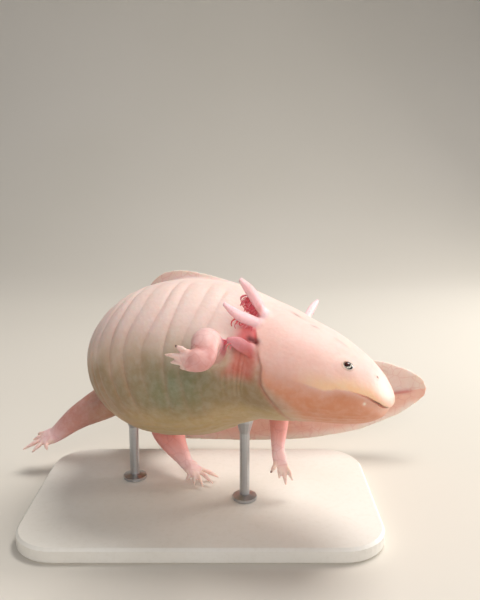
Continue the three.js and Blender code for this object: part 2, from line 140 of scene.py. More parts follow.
# Each limb runs from inside the body through the elbow or knee and the wrist to the knuckles, as
# x, y, z, half width and half depth. Its back is the way that the back of the hand or foot faces.
# Red and pale are its shares of two skin tones, and blend is where along it they take over from the
# body's colour: 0 is the root and 1 the wrist. Both carry some painted light and shade. Tips are the
# ends of the fingers or toes.
LIMBS = {
    "foreleg_left": dict(
        line=[
            (16, 4, 47, 4.6, 4.6), (21.2, 8, 42, 4.2, 4.2), (24.7, 3.5, 31.5, 3.5, 3.3),
            (24.4, -1.9, 22, 2.2, 2), (24.8, -3.6, 19, 2.4, 1.5), (25.1, -4.3, 17.4, 1.9, 1.1),
        ],
        back=(0.2, -0.8, 0.5),
        tips=[(21.8, -7.5, 15.2), (24.8, -5.1, 12), (27, -4.8, 9.7), (29.2, -4.9, 11.2)],
        red=0.8,
    ),
    "foreleg_right": dict(
        line=[
            (7.5, -17, 56, 4.8, 4.8), (4.7, -26.6, 61, 4.2, 4.2), (3, -36.6, 67, 3.8, 3.6),
            (2.5, -43.2, 64.7, 3.4, 2.8), (0.9, -45.8, 64.5, 3.1, 2.1), (-0.9, -46, 64.6, 2.5, 1.5),
        ],
        back=(-0.1, -0.8, 0.5),
        tips=[(-4.6, -44.9, 68.2), (-7.2, -45.2, 65.9), (-5.8, -45.1, 63.8), (-3.4, -44.5, 62.2)],
        # The pale tone is partly painted light from above; the blend lets the body's darker colour cover
        # the arm's root as painted shade.
        red=0.25,
        pale=0.9,
        blend=(0.28, 0.5),
    ),
    "hindleg_left": dict(
        line=[
            (-18.6, 26, 33, 6.2, 6.2), (-15.4, 22, 27, 6.2, 6.2), (-13.1, 15, 20, 5.6, 5.2),
            (-7.1, 8.9, 12.1, 2.7, 2.4), (-4.8, 7.4, 10.2, 3.3, 1.7), (-3.4, 6.7, 9.1, 2.9, 1.2),
        ],
        back=(0.3, -0.2, 0.9),
        tips=[(-6.5, 4.2, 6.6), (-3.3, 1.1, 6.5), (-0.4, 0.7, 6.4), (3, 2.8, 6.3), (4.8, 7.4, 6.4)],
        red=1.0,
    ),
    "hindleg_right": dict(
        line=[
            (-28, 28, 31.5, 5.8, 5.8), (-37, 29.6, 26, 6.2, 6.2), (-47.8, 29.4, 20, 4.7, 4.4),
            (-55.8, 28.3, 13.9, 3.2, 2.8), (-58.5, 27.7, 12.8, 3.5, 1.9), (-60.1, 27.4, 12.3, 3.1, 1.3),
        ],
        back=(-0.2, -0.5, 0.85),
        tips=[
            (-58.4, 22.7, 9.5),
            (-64.2, 23, 8.5),
            (-68.1, 24.9, 8.7),
            (-65.2, 28.6, 11),
            (-64.2, 31.4, 12),
        ],
        # Painted shade: mostly the beige tone, with the body's darker colour reaching far down the leg.
        red=0.15,
        blend=(0.25, 0.95),
    ),
}
DIGIT_RADIUS = 0.85
KNUCKLE_SPREAD = 0.72  # of the hand's half width, out to the first and last knuckles
PALM_THICKNESS = 0.9  # these thicknesses are shares of the digit's radius
TIP_THICKNESS = 0.42
TIP_SETBACK = 0.35  # mm, which the rounded end fills
# From the knuckle on: the share of the digit's length, its arch towards the back and its thickness.
DIGIT_ROWS = [(0, 0, 1.02), (0.28, 0.28, 0.82), (0.5, 0.34, 0.92), (0.75, 0.2, 0.66)]

# Each gill leaves the back of the head at a station of the body and an angle up from the side, and
# reaches (forward, out, up) to its tip. Then come its width and its bow, which is how far its middle
# stands over a straight line.
GILLS = {
    "gill_right_top": (6.9, 51, (-5.6, 8.4, 8), 2.3, 0.6),
    "gill_right_middle": (6.9, 38.5, (-5.4, 12, 3.4), 1.85, -0.8),
    "gill_right_low": (6.65, 11, (-4.3, 6.9, 1.9), 2.15, 0.4),
    "gill_left_top": (6.7, 50, (-1.6, 10, 7.2), 1.8, 0.6),
    "gill_left_middle": (6.9, 35, (-4, 11.4, 2), 1.7, 0.6),
    "gill_left_low": (6.75, 14, (-5.2, 8.6, -0.6), 1.8, 0.6),
}
# Along a gill: the shares of its reach, of its bow and of its width.
GILL_ROWS = [(-0.35, 0, 0.75), (0, 0, 0.85), (0.55, 1, 0.9), (1, 0, 0.42)]
GILL_DEPTH = 0.55  # of its width

# ---------------- sweeping sections along a line of rows
UP = np.array([0.0, 0.0, 1.0])


def unit(v):
    return v / np.linalg.norm(v, axis=-1, keepdims=True)


def distance(points, place):
    return np.linalg.norm(points - place, axis=1)


def ease(value, low, high):
    """0 at low and below, 1 at high and above, and smooth between them."""
    share = np.clip((np.asarray(value, float) - low) / (high - low), 0, 1)
    return share * share * (3 - 2 * share)


def window(value, start, full, fading, end):
    """1 from full to fading, 0 before start and after end, and smooth between them."""
    return ease(value, start, full) * (1 - ease(value, fading, end))


def hump(value, centre, width):
    return np.exp(-(((value - centre) / width) ** 2))


def between(rows, t):
    """The rows' Catmull-Rom values at t, which is a whole number at each row."""
    last = len(rows) - 1
    i = np.clip(np.floor(t).astype(int), 0, last - 1)
    f = (t - i)[:, None]
    a, b, c, d = (rows[np.clip(i + k, 0, last)] for k in (-1, 0, 1, 2))
    slope_b, slope_c, rise = (c - a) / 2, (d - b) / 2, c - b
    return b + f * (slope_b + f * (3 * rise - 2 * slope_b - slope_c + f * (slope_b + slope_c - 2 * rise)))


def sections(rows, t, hint=UP):
    """The sections' centres, their forward, left and top directions, and their half sizes at t."""
    rows = np.asarray(rows, float)
    t = np.atleast_1d(np.asarray(t, float))
    step = 0.02
    at = between(rows, t)
    ahead = between(rows, np.maximum(t - step, 0))[:, :3]
    behind = between(rows, np.minimum(t + step, len(rows) - 1))[:, :3]
    forward = unit(ahead - behind)
    left = unit(np.cross(hint, forward))
    if rows.shape[1] > 6:
        lean = np.radians(at[:, 6:7])
        left = left * np.cos(lean) - np.cross(forward, left) * np.sin(lean)
    top = np.cross(forward, left)
    return SimpleNamespace(
        centre=at[:, :3], forward=forward, left=left, top=top, side=at[:, 3], up=at[:, 4], down=at[:, 5]
    )


def ring_points(s, angle, blunt=1.0):
    """Points on each section's outline. Angle 0 is the left side and a quarter turn the top."""
    wide = np.sign(np.cos(angle)) * np.abs(np.cos(angle)) ** blunt
    rise = np.sin(angle)
    half = np.where(rise > 0, s.up[:, None], s.down[:, None])
    across = (wide * s.side[:, None])[..., None] * s.left[:, None]
    return s.centre[:, None] + across + (rise * half)[..., None] * s.top[:, None]


def closed(rings):
    """Rings of points as a closed mesh, with a fan at each end."""
    count, around = rings.shape[:2]
    points = np.concatenate([rings.reshape(-1, 3), rings[0].mean(0)[None], rings[-1].mean(0)[None]])
    ring, spoke = np.meshgrid(np.arange(count - 1), np.arange(around), indexing="ij")
    after = (spoke + 1) % around
    corners = [(ring, spoke), (ring, after), (ring + 1, after), (ring + 1, spoke)]
    quads = np.stack([row * around + place for row, place in corners], -1).reshape(-1, 4)
    spokes = np.arange(around)
    turn = (spokes + 1) % around
    first, last = count * around, count * around + 1
    end = (count - 1) * around
    fans = np.concatenate([
        np.stack([turn, spokes, np.full(around, first)], -1),
        np.stack([end + spokes, end + turn, np.full(around, last)], -1),
    ])
    return SimpleNamespace(points=points, quads=quads, fans=fans)


def tube(rows, around, count, hint=UP, dome=False):
    """A closed sweep along the rows. dome rounds its far end."""
    s = sections(rows, np.linspace(0, len(rows) - 1, count), hint)
    angle = np.linspace(0, 2 * np.pi, around, endpoint=False)
    rings = ring_points(s, angle)
    if dome:
        centre, way = s.centre[-1], -s.forward[-1]
        reach = min(s.side[-1], s.up[-1])
        extra = [
            centre + (rings[-1] - centre) * np.cos(turn) + way * reach * np.sin(turn)
            for turn in np.radians([30, 55, 75])
        ]
        rings = np.concatenate([rings, extra])
    return closed(rings)


def body_point(t, degrees, lift=0.0):
    """A point on the body's surface, with its angle up from the animal's left side."""
    s = sections(BODY_ROWS, t)
    angle = np.radians(degrees)
    half = (s.up if np.sin(angle) > 0 else s.down)[0]
    across = s.left[0] * np.cos(angle) * (s.side[0] + lift)
    return s.centre[0] + across + s.top[0] * np.sin(angle) * (half + lift)


# ---------------- fields that shapes are melted together in
BAND = 4.2  # mm each side of a surface where its distance is known
MARGIN = 3.0
low_corner = np.array(cad_box[0]) / MM - MARGIN
high_corner = np.array(cad_box[1]) / MM + MARGIN
ORIGIN = np.floor(low_corner / VOXEL).astype(int)
SHAPE = tuple(np.ceil(high_corner / VOXEL).astype(int) - ORIGIN)
CELLS = vdb.createLinearTransform(VOXEL)


def new_field():
    return np.full(SHAPE, BAND, np.float32)


def melt(field, mesh, soft):
    """Joins a closed mesh to the field, with a fillet about as wide as soft."""
    grid = vdb.FloatGrid.createLevelSetFromPolygons(
        np.ascontiguousarray(mesh.points, np.float32),
        triangles=mesh.fans.astype(np.uint32),
        quads=mesh.quads.astype(np.uint32),
        transform=CELLS,
        halfWidth=BAND / VOXEL,
    )
    low = np.floor((mesh.points.min(0) - BAND) / VOXEL).astype(int) - ORIGIN
    high = np.ceil((mesh.points.max(0) + BAND) / VOXEL).astype(int) - ORIGIN
    low, high = np.maximum(low, 0), np.minimum(high, SHAPE)
    part = np.empty(tuple(high - low), np.float32)
    grid.copyToArray(part, ijk=tuple(int(v) for v in low + ORIGIN))
    melt_part(field[tuple(slice(a, b) for a, b in zip(low, high))], part, soft)


def melt_part(field, part, soft):
    overlap = np.maximum(soft - np.abs(field - part), 0) / soft
    np.minimum(field, part, out=field)
    field -= overlap * overlap * (soft / 4)


def sample(field, points):
    """The field at the points, by trilinear interpolation."""
    place = points / VOXEL - ORIGIN
    cell = np.clip(np.floor(place).astype(int), 0, np.array(SHAPE) - 2)
    share = place - cell
    total = np.zeros(len(points))
    for corner in itertools.product((0, 1), repeat=3):
        weight = np.prod(np.where(corner, share, 1 - share), axis=1)
        total += weight * field[tuple((cell + corner).T)]
    return total


def fin_mesh(upper):
    """The thin blade above or below the body, with a slow ripple that grows towards its rim."""
    rows = []
    for name, (rise, drop) in FIN_RISE.items():
        x, y, z, _, up, down, lean = STATIONS[name]
        extra = rise if upper else drop
        reach = (up if upper else down) + extra + FIN_RIM * min(extra, 1)
        rows.append((x, y, z, FIN_THICKNESS / 2, reach, reach, lean))
    rows += [(*centre, FIN_END_THICKNESS / 2, up, down, 0) for centre, up, down in FIN_ENDS]
    t = np.linspace(0, len(rows) - 1, 340)
    s = sections(rows, t)
    first, phase = (0, 0.0) if upper else (np.pi, 1.7)
    angle = np.linspace(first, first + np.pi, 30)
    rings = ring_points(s, angle, FIN_BLUNTNESS)
    height = np.abs(np.sin(angle))[None, :, None]
    tail = ease(t, 6, 12)[:, None, None]
    ripple = 0.3 * np.sin(t * 5.1 + phase) + 0.12 * np.sin(t * 11.3)
    rings += (height ** 3) * tail * ripple[:, None, None] * s.left[:, None]
    return closed(rings)


def digit_rows(palm, knuckle, tip, hint):
    """A finger or toe from the palm, over its joints and to its tip."""
    reach = tip - knuckle
    joints = [(palm, PALM_THICKNESS)]
    joints += [(knuckle + reach * share + hint * arch, thick) for share, arch, thick in DIGIT_ROWS]
    joints.append((tip - unit(reach) * TIP_SETBACK, TIP_THICKNESS))
    return np.array([(*place, *[DIGIT_RADIUS * thick] * 3) for place, thick in joints])


def build_limb(line, back, tips, red, pale=0, blend=(-1, -0.5)):
    hint = unit(np.array(back, float))
    rows = np.array([(*row, row[-1]) for row in line], float)
    end = sections(rows, len(rows) - 1, hint)
    palm = sections(rows, len(rows) - 1.5, hint).centre[0]
    tips = np.array(tips, float)
    across = np.sign(end.left[0] @ (tips[0] - end.centre[0]))
    digits = []
    for i, tip in enumerate(tips):
        spread = (1 - 2 * i / (len(tips) - 1)) * KNUCKLE_SPREAD
        knuckle = end.centre[0] + end.left[0] * across * spread * end.side[0]
        digits.append(digit_rows(palm, knuckle, tip, hint))
    return SimpleNamespace(rows=rows, hint=hint, digits=digits, tips=tips, red=red, pale=pale, blend=blend)


def build_gill(is_left, station, angle, reach, width, bow):
    root = sections(BODY_ROWS, station)
    axes = np.array([root.forward[0], root.left[0] * (1 if is_left else -1), root.top[0]])
    base = body_point(station, angle if is_left else 180 - angle)
    reach = np.array(reach) @ axes
    rows = []
    for along, bend, size in GILL_ROWS:
        place = base + reach * along + axes[2] * bow * bend
        half = width * size
        rows.append((*place, half, half * GILL_DEPTH, half * GILL_DEPTH))
    return SimpleNamespace(rows=np.array(rows), hint=unit(np.array([1, 0, 0.25]) @ axes), axes=axes)


limbs = {name: build_limb(**limb) for name, limb in LIMBS.items()}
gills = {name: build_gill("left" in name, *gill) for name, gill in GILLS.items()}

body_field, fin_field, limb_field, gill_field = (new_field() for _ in range(4))
melt(body_field, tube(BODY_ROWS, 72, 440), soft=0.5)
for upper in (True, False):
    melt(fin_field, fin_mesh(upper), soft=0.3)
for limb in limbs.values():
    melt(limb_field, tube(limb.rows, 32, 60, limb.hint, dome=True), soft=0.5)
    for digit in limb.digits:
        melt(limb_field, tube(digit, 16, 40, limb.hint, dome=True), soft=0.8)
for gill in gills.values():
    melt(gill_field, tube(gill.rows, 24, 40, gill.hint, dome=True), soft=0.5)
skin_field = body_field.copy()
melt_part(skin_field, fin_field, soft=1.6)
melt_part(skin_field, limb_field, soft=2.6)
melt_part(skin_field, gill_field, soft=1.4)

# ---------------- where a point of the skin is on the animal
centreline_t = np.arange(0, LAST, 0.05)
centreline = sections(BODY_ROWS, centreline_t).centre
eyes_section = sections(BODY_ROWS, STATION["eyes"])
HEAD_AXES = np.array([-eyes_section.forward[0], eyes_section.top[0]])

# The mouth runs back from the lips: each point is (back, up) in the head's own axes.
MOUTH = np.array([
    (-1, -3.4), (0.2, -2.6), (1.3, -0.9), (2.6, 0.4), (5, 1.5), (9.5, 1.8), (12.5, 1.2), (15, 0),
])
MOUTH_CORNER = 12.5
EYE_RADIUS = 1.6
EYE_STATION = STATION["eyes"] - 0.06
EYE_ANGLE = 44
EYE_DEPTH = 0.75
NOSTRIL_STATION = 2.6
NOSTRIL_ANGLE = 69
NOSTRILS = [body_point(NOSTRIL_STATION, degrees) for degrees in (NOSTRIL_ANGLE, 180 - NOSTRIL_ANGLE)]
PIMPLE = body_point(2.4, 185)
PIMPLE_WIDTH = 0.4
GILL_SLIT_TURN = 69
CROWN_CREASE_STATIONS = [5.4, 6.2, 6.6, 7.05]
CROWN_CREASE_TURNS = [16, 14, 17, 32]

# Regions of the skin: the stations along the body, then the turns from the top, where each starts,
# is full, begins to fade and ends.
GROOVED = (7.6, 8.6, 12.6, 13.4), (8, 38, 112, 150)
NECK_FOLDS = (6.5, 6.9, 7.5, 7.9), (66, 84, 112, 130)
RED_NECK = (6.1, 6.5, 7.2, 8.0), (72, 82, 98, 112)
RED_PATCH = (6.5, 6.7, 7.1, 7.45), (30, 38, 46, 54)
RAW_PATCH = (6.5, 6.7, 7.1, 7.45), (50, 56, 72, 78)
# The costal grooves, in stations: the first one, the pitch and how far they slant down the flank.
GROOVE_START = 8.05
GROOVE_PITCH = 0.48
GROOVE_SLANT = 0.28

# The head's rear edge over the neck: its station at each turn from the top.
EDGE_TURNS = [0, 55, 70, 80, 88, 105, 120, 132, 150, 180]
EDGE_STATIONS = [6.9, 6.9, 6.6, 6.3, 6.1, 6.0, 5.7, 5.5, 5.35, 5.25]
EDGE_PACE = 9.4  # mm for each station there


def eye_place(degrees):
    """An eyeball's centre and the way that it looks."""
    outside, inside = (body_point(EYE_STATION, degrees, lift) for lift in (1.0, -1.0))
    return body_point(EYE_STATION, degrees, -EYE_DEPTH), unit(outside - inside)


EYES = {"left": eye_place(EYE_ANGLE), "right": eye_place(180 - EYE_ANGLE)}


def nearest(points, line):
    """The index of the line's point nearest to each point, and its distance."""
    index, gap = np.empty(len(points), int), np.empty(len(points))
    for start in range(0, len(points), 20_000):
        part = points[start:start + 20_000]
        square = (part**2).sum(1)[:, None] - 2 * part @ line.T + (line**2).sum(1)
        index[start:start + 20_000] = square.argmin(1)
        gap[start:start + 20_000] = np.sqrt(np.maximum(square.min(1), 0))
    return index, gap


def place_on_body(points):
    """Each point's t along the body, its angle up from the left side and its turn from the top.

    Both are in degrees. The turn is 0 on the back and 180 under the belly.
    """
    t = centreline_t[nearest(points, centreline)[0]]
    for _ in range(2):
        s = sections(BODY_ROWS, t)
        low, high = np.maximum(t - 0.05, 0), np.minimum(t + 0.05, LAST)
        run = between(BODY_ROWS, high)[:, :3] - between(BODY_ROWS, low)[:, :3]
        pace = np.linalg.norm(run, axis=1) / (high - low)
        t = np.clip(t - ((points - s.centre) * s.forward).sum(1) / pace * 0.8, 0, LAST)
    s = sections(BODY_ROWS, t)
    out = points - s.centre
    rise = (out * s.top).sum(1)
    half = np.maximum(np.where(rise > 0, s.up, s.down), 0.3)
    angle = np.degrees(np.arctan2(rise / half, (out * s.left).sum(1) / np.maximum(s.side, 0.3))) % 360
    turn = np.abs((angle - 90 + 180) % 360 - 180)
    return t, angle, turn


def head_place(points):
    """How far each point lies behind the snout, and how high over the mouth's line."""
    back, up = ((points - SNOUT) @ HEAD_AXES.T).T
    return back, up - np.interp(back, MOUTH[:, 0], MOUTH[:, 1])


def measure(points):
    """Where each point lies on the body and the head, and how far it is from each field's surface."""
    t, angle, turn = place_on_body(points)
    back, over_mouth = head_place(points)
    edge = (t - np.interp(turn, EDGE_TURNS, EDGE_STATIONS)) * EDGE_PACE
    fields = (body_field, fin_field, limb_field, gill_field)
    body, fin, limb, gill = (sample(field, points) for field in fields)
    return SimpleNamespace(
        points=points, t=t, angle=angle, turn=turn, back=back, over_mouth=over_mouth, edge=edge,
        body=body, fin=fin, limb=limb, gill=gill,
    )


def limb_place(points):
    """How far along the nearest limb each point is, its two tones and how far they cover the body's.

    The first is 0 at the limb's root, 1 at the wrist and 2 at a digit's tip.
    """
    best = np.full(len(points), 1e9)
    along, red, pale, cover = np.zeros((4, len(points)))
    for limb in limbs.values():
        lines = [(sections(limb.rows, np.linspace(0, 3.6, 40), limb.hint).centre, np.linspace(0, 1, 40))]
        for digit in limb.digits:
            lines.append((sections(digit, np.linspace(1, 5, 24), limb.hint).centre, np.linspace(1, 2, 24)))
        for line, share in lines:
            index, gap = nearest(points, line)
            closer = gap < best
            best[closer] = gap[closer]
            along[closer] = share[index[closer]]
            red[closer] = limb.red
            pale[closer] = limb.pale
            cover[closer] = ease(along[closer], *limb.blend)
    return along, red, pale, cover


def region(m, stations, turns):
    """1 inside a region of the skin and 0 outside it, with soft edges."""
    return window(m.t, *stations) * window(m.turn, *turns)


def groove_ridge(m):
    """0 in a costal groove and 1 on the fold between two, with the share that the grooves have there."""
    slant = GROOVE_SLANT * ease(m.turn, 48, 95)
    run = m.t - slant - GROOVE_START
    count = run / GROOVE_PITCH * (1 + 0.03 * run) + 0.1 * np.sin(run * 5.3) * np.sin(m.turn / 21)
    away = np.abs((count + 0.5) % 1 - 0.5) * 2
    strength = region(m, *GROOVED) * (0.85 + 0.25 * np.sin(count * 2.4 + m.turn / 30))
    return 1 - (1 - away) ** 2.4, strength


# ---------------- the skin's relief
# How high or deep its folds are, in millimetres.
GROOVE = 0.52
HOOD = 0.6
HOOD_GAP = 0.5
UPPER_LIP = 0.42
JAW_STEP = 0.3
MOUTH_SLIT = 0.85
MOUTH_DIMPLE = 0.14
EYE_RIM = 0.3
EYE_SWELL = 0.12
EYE_PIT = 1.3
EYE_MOAT = 0.08
NOSTRIL_RIM = 0.1
NOSTRIL_PIT = 0.5
PIMPLE_HEIGHT = 0.16
CROWN_CREASE = 0.22
GILL_SLIT = 0.7
ARMPIT = 0.3
NECK_FOLD = 0.16
THROAT_FOLD = 0.07
MUSCLE = 0.12
BELLY_FOLD = 0.1


def mouth_lift(m):
    """A full upper lip over a slit, a lower jaw that is set in a little and a dimple at the corner."""
    along = ease(m.back, -1.5, 0.6) * (1 - ease(m.back, 3, 10))
    lift = along * UPPER_LIP * window(m.over_mouth, -0.1, 0.12, 0.8, 4.5)
    lift -= along * JAW_STEP * window(m.over_mouth, -4.5, -0.4, -0.2, 0.05)
    width = 0.15 + 0.17 * (1 - ease(m.back, 1.5, 5))
    lift -= along * MOUTH_SLIT * hump(m.over_mouth, -0.12, width)
    lift -= MOUTH_DIMPLE * hump(m.back, MOUTH_CORNER + 0.6, 2.4) * hump(m.over_mouth, -0.8, 2.0)
    return lift * (1 - ease(m.back, 30, 38))


def eye_lift(m):
    """A socket for each eye, with a rim of lid round it."""
    lift = np.zeros(len(m.points))
    for centre, outward in EYES.values():
        offset = m.points - centre
        high = offset @ outward
        radial = np.linalg.norm(offset - high[:, None] * outward, axis=1)
        rim = EYE_RIM * hump(radial, 1.42, 0.24) + EYE_SWELL * hump(radial, 2.1, 0.9)
        pit = EYE_PIT * (1 - ease(radial, 1.02, 1.26))
        moat = EYE_MOAT * hump(radial, 4.0, 1.2)
        lift += np.where((high > -3) & (radial < 8), rim - pit - moat, 0)
    return lift


def snout_lift(m):
    """The nostrils and a pimple on the muzzle."""
    lift = PIMPLE_HEIGHT * hump(distance(m.points, PIMPLE), 0, PIMPLE_WIDTH)
    for centre in NOSTRILS:
        gap = distance(m.points, centre)
        lift += NOSTRIL_RIM * hump(gap, 0.7, 0.3) - NOSTRIL_PIT * (1 - ease(gap, 0.1, 0.42))
    return lift


def neck_lift(m, clear, flesh):
    """The head's hood over the neck, the crown's creases, the open gill slit and the neck's red folds."""
    t, turn = m.t, m.turn
    share = ease(turn, 48, 74) * (1 - 0.85 * ease(turn, 92, 140))
    hood = (1 - ease(m.edge, -0.45, 0.6)) * np.exp(np.minimum(m.edge, 0) / 3.5)
    lift = share * (HOOD * hood - HOOD_GAP * hump(m.edge, 0.75, 0.85))
    crease = np.interp(t, CROWN_CREASE_STATIONS, CROWN_CREASE_TURNS)
    lift -= CROWN_CREASE * hump(turn, crease, 3.2) * window(t, 5.3, 5.9, 6.95, 7.1)
    lift += NECK_FOLD * region(m, *NECK_FOLDS) * np.sin(t * 31)
    slit = window(t, 6.5, 6.7, 6.95, 7.15) * hump(turn, GILL_SLIT_TURN, 2.4)
    return lift * flesh - GILL_SLIT * slit * ease(clear, 0.0, 1.0)


def trunk_lift(m, flesh):
    """The costal grooves, the armpit's crease, the soft folds below and the tail's muscle blocks."""
    t, turn = m.t, m.turn
    ridge, strength = groove_ridge(m)
    lift = GROOVE * strength * (ridge - 0.72) * flesh
    lift -= ARMPIT * hump(t, 7.95 - (turn - 97) * 0.02, 0.05) * window(turn, 92, 98, 104, 112)
    throat = window(t, 1.6, 3, 5.0, 5.5) * ease(turn, 105, 130)
    lift += THROAT_FOLD * throat * np.sin(np.radians(turn) * 34 + 0.8 * np.sin(t * 2.3))
    belly = window(t, 7.2, 8, 10, 12) * hump(turn, 150, 16)
    lift += BELLY_FOLD * belly * np.sin(np.radians(turn) * 46 + 1.2 * np.sin(t * 3.1))
    off_side = np.abs(turn - 90)
    tail = window(t, 13.4, 14.6, 21, 22) * ease(60 - off_side, 0, 30) * flesh
    return lift + MUSCLE * tail * np.sin((t * 2.6 - off_side / 90) * 2 * np.pi)


def lift_of(points):
    """How far the skin's folds lift each point off the plain shape, in millimetres."""
    m = measure(points)
    clear = np.minimum(np.minimum(m.fin, m.limb), m.gill) - m.body
    flesh = ease(clear, 0.2, 2.2)
    return trunk_lift(m, flesh) + neck_lift(m, clear, flesh) + mouth_lift(m) + eye_lift(m) + snout_lift(m)


# ---------------- the skin's mesh
def new_mesh(name, points, faces):
    mesh = bpy.data.meshes.new(name)
    mesh.from_pydata(np.asarray(points) * MM, [], [tuple(f) for f in faces])
    mesh.validate()
    mesh.shade_smooth()
    piece = bpy.data.objects.new(name, mesh)
    bpy.context.scene.collection.objects.link(piece)
    return piece


def points_of(mesh):
    flat = np.empty(len(mesh.vertices) * 3)
    mesh.vertices.foreach_get("co", flat)
    return flat.reshape(-1, 3) / MM


def set_points(mesh, points):
    mesh.vertices.foreach_set("co", (points * MM).ravel())
    mesh.update()


def normals_of(mesh):
    flat = np.empty(len(mesh.vertices) * 3)
    mesh.vertex_normals.foreach_get("vector", flat)
    return flat.reshape(-1, 3)


def field_mesh(field):
    """The field's zero surface, with its faces turned outwards."""
    grid = vdb.FloatGrid(BAND)
    grid.transform = CELLS
    grid.copyFromArray(field, ijk=tuple(int(v) for v in ORIGIN))
    points, quads = grid.convertToQuads()
    a, b, c, d = (points[quads[:, k]].astype(float) for k in range(4))
    volume = (a * np.cross(b, c)).sum() + (a * np.cross(c, d)).sum()
    return points, quads if volume > 0 else quads[:, ::-1]


def refine(mesh, wanted, rounds):
    """Splits the edges between the points that wanted picks, again for each round."""
    work = bmesh.new()
    work.from_mesh(mesh)
    for _ in range(rounds):
        places = np.array([v.co for v in work.verts]) / MM
        chosen = wanted(places)
        edges = [e for e in work.edges if chosen[e.verts[0].index] and chosen[e.verts[1].index]]
        bmesh.ops.subdivide_edges(work, edges=edges, cuts=1, use_grid_fill=True)
        work.verts.index_update()
    bmesh.ops.triangulate(work, faces=[f for f in work.faces if len(f.verts) > 4])
    work.to_mesh(mesh)
    work.free()


def fine_places(points):
    """The parts of the head whose folds are finer than the field's cells."""
    back, over_mouth = head_place(points)
    found = (back > -2) & (back < MOUTH_CORNER + 2) & (np.abs(over_mouth + 0.1) < 1.0)
    for centre, _ in EYES.values():
        found |= distance(points, centre) < 2.6
    for centre in NOSTRILS:
        found |= distance(points, centre) < 1.4
    return found


def modify(piece, kind, **settings):
    modifier = piece.modifiers.new(kind.lower(), kind)
    for key, value in settings.items():
        setattr(modifier, key, value)
    with bpy.context.temp_override(object=piece, active_object=piece, selected_objects=[piece]):
        bpy.ops.object.modifier_apply(modifier=modifier.name)


skin = new_mesh("skin", *field_mesh(skin_field))
modify(skin, "SMOOTH", factor=0.5, iterations=2)
refine(skin.data, fine_places, rounds=2)
plain = points_of(skin.data)
set_points(skin.data, plain + normals_of(skin.data) * lift_of(plain)[:, None])
triangles = sum(len(p.vertices) - 2 for p in skin.data.polygons)
if triangles > SKIN_TRIANGLES:
    modify(skin, "DECIMATE", ratio=SKIN_TRIANGLES / triangles)
skin.data.shade_smooth()

# ---------------- the regions that the skin's material reads
FRECKLES = [(4.6, 17.5, 0.22), (5.5, 18, 0.12), (6.25, 13.5, 0.2)]  # station, turn to the right, length
FRECKLE_WIDTH = 1.8


def attribute(mesh, name, values):
    layer = mesh.attributes.new(name, "FLOAT", "POINT")
    layer.data.foreach_set("value", np.asarray(values, np.float32))


def shade_and_dark_marks(m):
    """Painted shade in the mouth's slit and the nostrils, a few grey freckles on the crown and a dark
    tip on each hand.
    """
    mouth = window(m.back, 0.2, 1.4, 3, 5.5)
    dark = 0.95 * mouth * hump(m.over_mouth, -0.2, 0.24 + 0.18 * (1 - ease(m.back, 1, 3.5)))
    for centre in NOSTRILS:
        dark += 0.3 * (1 - ease(distance(m.points, centre), 0.25, 0.8))
    for station, turn, length in FRECKLES:
        dark += 0.45 * hump(m.t, station, length) * hump(m.angle, 90 + turn, FRECKLE_WIDTH)
    for name in ("foreleg_left", "foreleg_right"):
        dark += 0.9 * (1 - ease(distance(m.points, limbs[name].tips[0]), 0.4, 1.1))
    return np.clip(dark, 0, 1)


def red_marks(m, on_limb, on_gill):
    """The red skin of the neck and round the gills' roots, the raw gill arches and painted shade, dark
    red, in the gill slit.
    """
    flush = np.maximum(0.5 * region(m, *RED_PATCH), 0.75 * region(m, *RED_NECK))
    in_neck = ease(m.edge, -0.4, 0.4) * (1 - on_limb)
    slit = window(m.t, 6.4, 6.6, 6.9, 7.1) * hump(m.turn, GILL_SLIT_TURN, 3.4)
    return {
        "flush": flush * in_neck,
        "raw": region(m, *RAW_PATCH) * in_neck * (1 - on_gill),
        "slit": slit * (1 - on_limb) * (1 - on_gill),
    }


def head_marks(m, flesh):
    """The head's own colour, its throat and chin, and the peach edge of its upper lip.

    The head's colour ends sharply at its rear edge above and fades into the neck's below. The
    throat's has a soft edge behind the mouth, and the lip's edge grows deeper towards the cheek.
    The throat's darker tan is partly painted shade under the lip, the chin's paler front partly a
    painted highlight, and the lip's peach edge partly painted light where the lip catches it.
    """
    low = ease(m.turn, 92, 122)
    in_head = (1 - ease((m.edge + 3.5 * low) / (1 + 6 * low), -0.6, 1.0)) * (m.t < 8)
    blur = 3.2 * ease(m.back, 8, 17)
    lip = hump(m.over_mouth, 0.5, 1.4 + 0.09 * np.clip(m.back, 0, 25)) * ease(m.over_mouth, -0.3, 0.2)
    lip *= (0.5 + 0.5 * ease(m.back, 0, 6)) * (1 - ease(m.back, 14, 27))
    return {
        "in_head": in_head * flesh,
        "throat": in_head * (1 - ease(m.over_mouth, -1.5 - blur, 0.6 + blur)) * flesh,
        "chin": (1 - ease(m.back, 2, 11)) * (1 - ease(-m.over_mouth, 1.5, 4.5)),
        "lip": in_head * lip,
        "fold": hump(m.edge, 0.6, 0.8) * ease(m.turn, 60, 80) * flesh * (m.t < 8),
    }


def fin_marks(m, on_limb):
    """The fins, the tail, the vein along the tail's axis and the fins' pale rim."""
    s = sections(BODY_ROWS, m.t)
    height = ((m.points - s.centre) * s.top).sum(1)
    past_tip = (BODY_ROWS[LAST, :3] - m.points) @ sections(BODY_ROWS, LAST).forward[0]
    stations = np.arange(STATION["shoulders"], LAST + 1)
    rises, drops = (np.interp(m.t, stations, reach) for reach in zip(*FIN_RISE.values()))
    to_rim = np.where(height > 0, s.up + rises - height, s.down + drops + height)
    on_fin = ease(m.body - m.fin, -0.6, 1.6) * (1 - on_limb)
    return {
        "on_fin": on_fin,
        "on_tail": ease(m.t, 15, 18.5) * (1 - on_limb),
        "axis": ease(m.t, 18.5, 20.5) * (1 - ease(past_tip, -1, 3.5)) * hump(height, 0, 0.9),
        "rim": on_fin * (1 - ease(to_rim, 0.3, 3.5)),
    }


